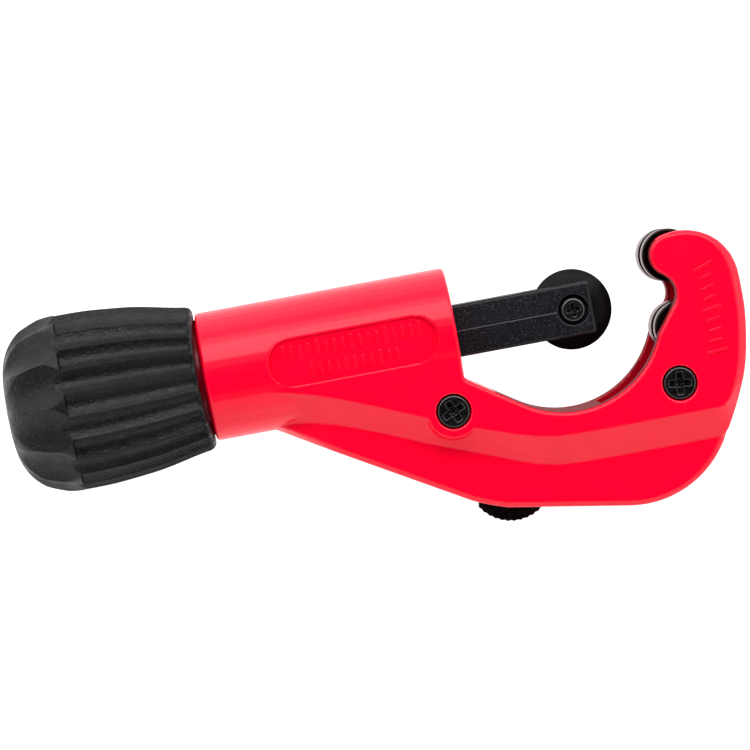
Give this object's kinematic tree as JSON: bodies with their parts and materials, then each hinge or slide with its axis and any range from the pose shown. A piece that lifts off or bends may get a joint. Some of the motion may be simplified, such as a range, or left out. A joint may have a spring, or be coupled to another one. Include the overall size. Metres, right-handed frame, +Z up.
{
  "type": "pipe cutter",
  "caption": "Telescoping-slide pipe cutter: C-jaw frame with rollers, a screw-fed slide carrying a cutting wheel, a fluted feed knob and a fold-away reamer blade.",
  "frame": {"origin": "on the surface that the knob rests on, under the middle of the tool's outer box, with the tool lying on its far side", "axes": "+X along the feed axis from the knob to the jaw, +Y from the C jaw's back towards its open top, +Z up, out of the near cheek that holds the screw heads"},
  "size_m": [0.1772, 0.0702, 0.0425],
  "materials": {
    "red_paint": "semi-gloss red paint over a die casting, with a fine orange peel",
    "black_plastic": "moulded, lightly textured black plastic",
    "black_casting": "black coated casting, speckled",
    "black_steel": "black oxide steel, satin",
    "plain_steel": "ground steel",
    "brass": "turned brass"
  },
  "bodies": {
    "frame_body": {"frame": "red_paint", "bearing_bush": "brass", "thrust_washer": "brass", "wave_washer": "plain_steel", "roller_pin_upper": "plain_steel", "roller_pin_lower": "plain_steel", "reamer_screw": "black_steel", "reamer_nut": "black_steel", "reamer_sleeve": "plain_steel", "reamer_wave_washer": "plain_steel", "jaw_screw": "black_steel", "jaw_nut": "black_steel", "jaw_spacer": "plain_steel"},
    "knob_body": {"knob": "black_plastic", "knob_insert": "plain_steel", "knob_screw": "plain_steel", "knob_washer": "plain_steel", "knob_end_plug": "black_plastic", "feed_screw": "plain_steel", "retaining_clip": "plain_steel"},
    "slide_body": {"slide": "black_casting", "slide_insert": "brass", "wheel_screw": "black_steel"},
    "wheel_body": {"cutter_wheel": "black_steel"},
    "roller_upper_body": {"roller_upper": "plain_steel"},
    "roller_lower_body": {"roller_lower": "plain_steel"},
    "reamer_body": {"reamer": "black_steel"}
  },
  "joints": [
    {"name": "knob_turn", "type": "hinge", "parent": "frame_body", "child": "knob_body", "pos_m": [-0.06886, 0.01383, 0.02125], "axis": [1, 0, 0], "range_deg": [-5760, 1368]},
    {"name": "slide_feed", "type": "slide", "parent": "frame_body", "child": "slide_body", "axis": [1, 0, 0], "range_m": [-0.0321, 0.0077]},
    {"name": "wheel_spin", "type": "hinge", "parent": "slide_body", "child": "wheel_body", "pos_m": [0.04864, 0.01383, 0.02125], "axis": [0, 0, 1], "continuous": true},
    {"name": "roller_upper_spin", "type": "hinge", "parent": "frame_body", "child": "roller_upper_body", "pos_m": [0.07309, 0.02261, 0.02125], "axis": [0, 0, 1], "continuous": true},
    {"name": "roller_lower_spin", "type": "hinge", "parent": "frame_body", "child": "roller_lower_body", "pos_m": [0.07309, 0.00505, 0.02125], "axis": [0, 0, 1], "continuous": true},
    {"name": "reamer_fold", "type": "hinge", "parent": "frame_body", "child": "reamer_body", "pos_m": [0.01584, -0.00447, 0.02125], "axis": [0, 0, -1], "range_deg": [0, 85]}
  ],
  "couplings": [
    {"joint": "slide_feed", "follows": "knob_turn", "m_per_rad": 0.00031831}
  ]
}
